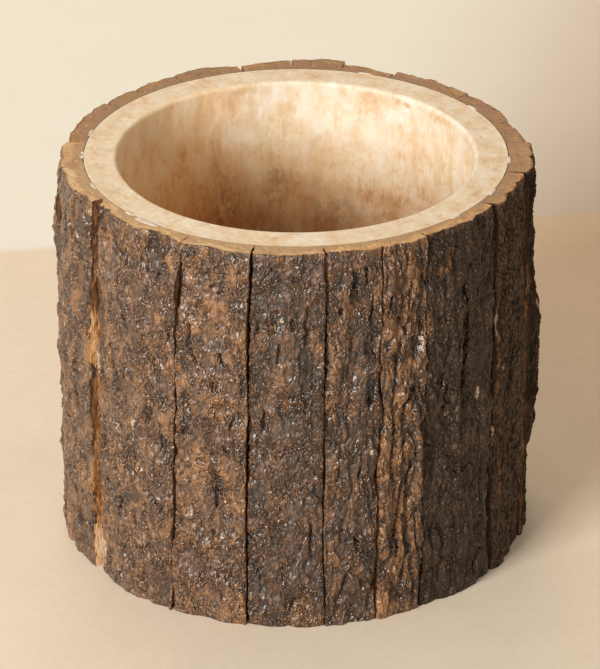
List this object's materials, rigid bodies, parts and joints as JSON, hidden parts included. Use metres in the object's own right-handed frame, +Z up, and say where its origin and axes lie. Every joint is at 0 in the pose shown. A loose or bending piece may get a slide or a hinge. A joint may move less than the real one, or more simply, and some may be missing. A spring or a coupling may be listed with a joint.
{
  "type": "bark planter",
  "caption": "Round wooden planter with a straight bore and a floor, clad all round with upright split bark strips sawn flush at rim and foot.",
  "frame": {"origin": "centre of the underside, on the axis of the bore", "axes": "+Z up along the axis of the bore, front towards -Y"},
  "size_m": [0.2595, 0.2591, 0.217],
  "materials": {
    "core_wood": "smooth turned, bare",
    "floor_wood": "sawn, bare",
    "bark_brown": "rough bark, thin clear coat",
    "bark_dark": "rough bark, thin clear coat",
    "bark_orange": "furrowed bark, thin clear coat",
    "glue": "dried wood glue"
  },
  "bodies": {
    "root": {"core_wall": "core_wood", "floor_disc": "floor_wood", "glue_patches": "glue", "bark_strip_01": "bark_brown", "bark_strip_02": "bark_brown", "bark_strip_03": "bark_dark", "bark_strip_04": "bark_dark", "bark_strip_05": "bark_orange", "bark_strip_06": "bark_dark", "bark_strip_07": "bark_dark", "bark_strip_08": "bark_dark", "bark_strip_09": "bark_brown", "bark_strip_10": "bark_dark", "bark_strip_11": "bark_orange", "bark_strip_12": "bark_brown", "bark_strip_13": "bark_dark", "bark_strip_14": "bark_brown", "bark_strip_15": "bark_dark", "bark_strip_16": "bark_orange", "bark_strip_17": "bark_brown", "bark_strip_18": "bark_dark", "bark_strip_19": "bark_brown", "bark_strip_20": "bark_brown"}
  },
  "joints": []
}
